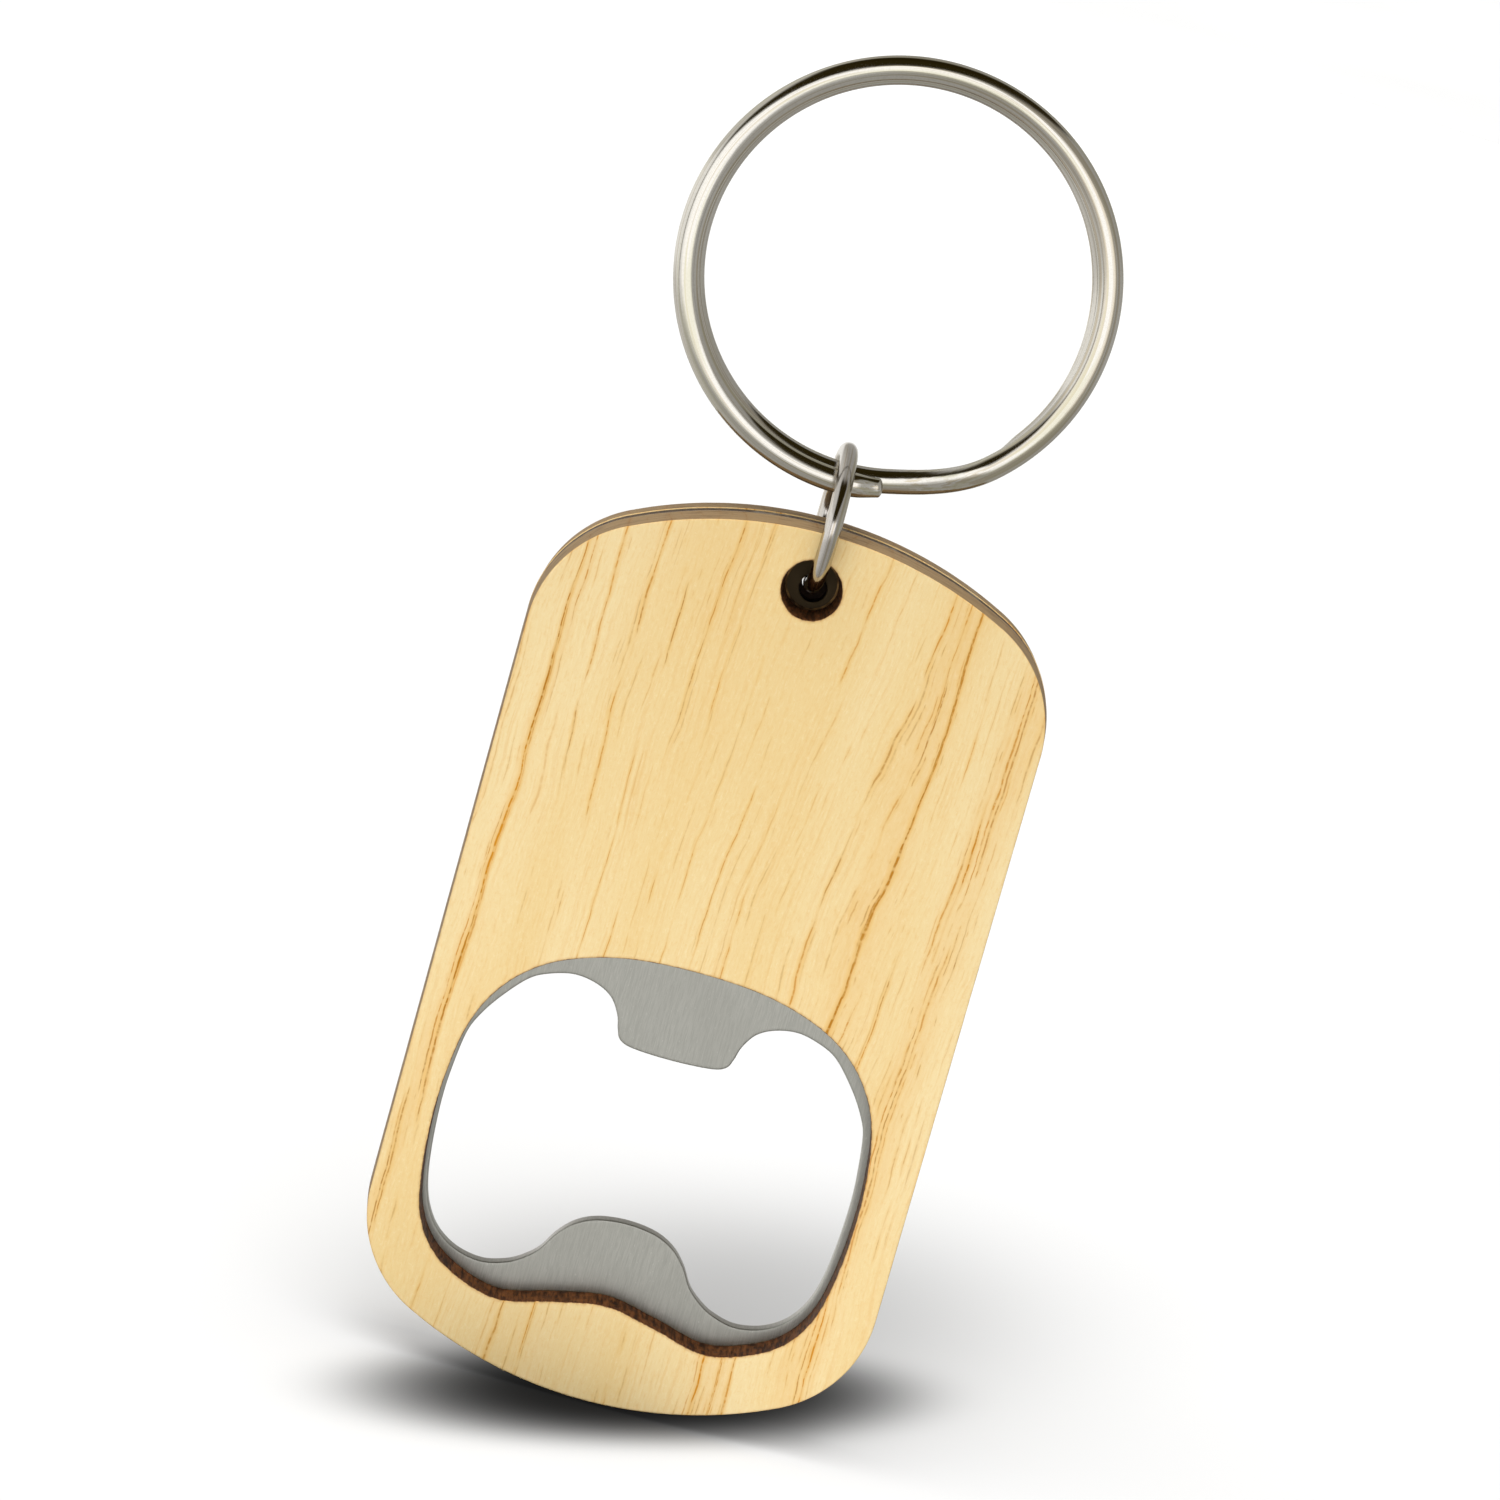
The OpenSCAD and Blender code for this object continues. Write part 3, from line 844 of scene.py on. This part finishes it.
def studio_world():
    """White behind the object, dim all round, and in the metal: a bright left, a bright strip low
    in front, a dark patch above it, and grey elsewhere."""
    world = bpy.data.worlds.new("studio")
    scene.world = world
    world.use_nodes = True
    t = world.node_tree
    t.nodes.clear()

    def add(kind, *values, **settings):
        node = t.nodes.new(kind)
        for k, v in settings.items():
            setattr(node, k, v)
        for i, v in enumerate(values):
            if isinstance(v, bpy.types.NodeSocket):
                t.links.new(v, node.inputs[i])
            elif v is not None:
                node.inputs[i].default_value = v
        return node

    def span(v, a, b):
        node = add("ShaderNodeMapRange", v, a, b, 0.0, 1.0)
        node.interpolation_type = "SMOOTHSTEP"
        return node.outputs[0]

    def maths(op, *values):
        return add("ShaderNodeMath", *values, operation=op).outputs[0]

    def times(a, b):
        return maths("MULTIPLY", a, b)

    def blend(a, b, factor):
        node = add("ShaderNodeMix", data_type="RGBA")
        for socket, v in ((node.inputs[0], factor), (node.inputs[6], a), (node.inputs[7], b)):
            if isinstance(v, bpy.types.NodeSocket):
                t.links.new(v, socket)
            else:
                socket.default_value = v
        return node.outputs[2]

    x, y, z = add("ShaderNodeSeparateXYZ", add("ShaderNodeTexCoord").outputs["Generated"]).outputs
    # a level belt all round, and a bright strip low in front
    level = times(span(z, -0.42, -0.24), span(z, 0.24, 0.1))
    strip = times(span(y, -0.88, -0.94), times(span(z, -0.26, -0.2), span(z, 0.12, 0.06)))
    # the dark patch in the middle, whose lower edge rises to the right
    rise = times(maths("MAXIMUM", maths("ADD", x, 0.05), 0.0), 0.9)
    height = maths("SUBTRACT", z, rise)
    dark = times(times(span(height, 0.04, 0.16), span(z, 0.99, 0.88)),
                 times(span(x, -0.72, -0.5), times(span(x, 0.75, 0.5), span(y, -0.1, -0.35))))
    grey, pale = (0.52, 0.505, 0.465, 1), (0.95, 0.93, 0.88, 1)
    belt, bright = (0.6, 0.59, 0.555, 1), (1.4, 1.38, 1.32, 1)
    shade, brown = (0.12, 0.1, 0.075, 1), (0.035, 0.025, 0.006, 1)
    white_strip = (1.9, 1.88, 1.84, 1)
    seen = blend(grey, pale, span(x, -0.1, -0.8))
    around = blend(belt, bright, span(x, 0.75, -0.85))
    # dark columns in the belt: azimuth, half width, and how much light is left
    for azimuth, width, tone in ((-31, 0.07, 0.3), (-62, 0.05, 0.7), (-118, 0.12, 0.75),
                                 (43, 0.05, 0.4)):
        c, s = math.cos(math.radians(azimuth)), math.sin(math.radians(azimuth))
        side = maths("ADD", times(x, c), times(y, s))
        ahead = maths("SUBTRACT", times(x, s), times(y, c))
        off = maths("ABSOLUTE", side)
        column = times(times(span(off, width, width * 0.4), span(ahead, 0, 0.2)), 1 - tone)
        around = blend(around, shade, column)
    seen = blend(blend(seen, around, level), white_strip, strip)
    seen = blend(seen, brown, dark)
    mirror = add("ShaderNodeBackground", seen, 1.0).outputs[0]
    room = add("ShaderNodeBackground", (0.16, 0.155, 0.15, 1), 1.0).outputs[0]
    glossy_ray = add("ShaderNodeLightPath").outputs["Is Glossy Ray"]
    studio = add("ShaderNodeMixShader", glossy_ray, room, mirror)
    white = add("ShaderNodeBackground", (1, 1, 1, 1), 1.0)
    camera_ray = add("ShaderNodeLightPath").outputs["Is Camera Ray"]
    both = add("ShaderNodeMixShader", camera_ray, studio.outputs[0], white.outputs[0])
    add("ShaderNodeOutputWorld", both.outputs[0])


studio_world()

CAMERA_AT, AIM_AT = (-18.7, -468, 114.65), (-0.952, 0, 15.09)       # from the body's middle
ROLL = 15.806           # degrees
SENSOR, PICTURE = 36, 1500              # mm and pixels
PIXELS_PER_MM = 14.788  # of the picture, at the point aimed at

cam_data = bpy.data.cameras.new("camera")
cam = linked("camera", cam_data)
cam.location = centre + Vector(CAMERA_AT) * MM
target = centre + Vector(AIM_AT) * MM
view = (target - cam.location).normalized()
right = view.cross(Vector((0, 0, 1))).normalized()
up = right.cross(view)
c, s = math.cos(math.radians(ROLL)), math.sin(math.radians(ROLL))
right, up = right * c + up * s, up * c - right * s
cam.rotation_euler = Matrix((right, up, -view)).transposed().to_euler()
distance = (target - cam.location).length
cam_data.sensor_width = SENSOR
cam_data.lens = SENSOR * PIXELS_PER_MM * distance / MM / PICTURE
cam_data.clip_start, cam_data.clip_end = 0.01, 30
scene.camera = cam

scene.view_settings.view_transform = "Standard"
scene.view_settings.look = "None"
scene.view_settings.exposure = 0
scene.view_settings.gamma = 1
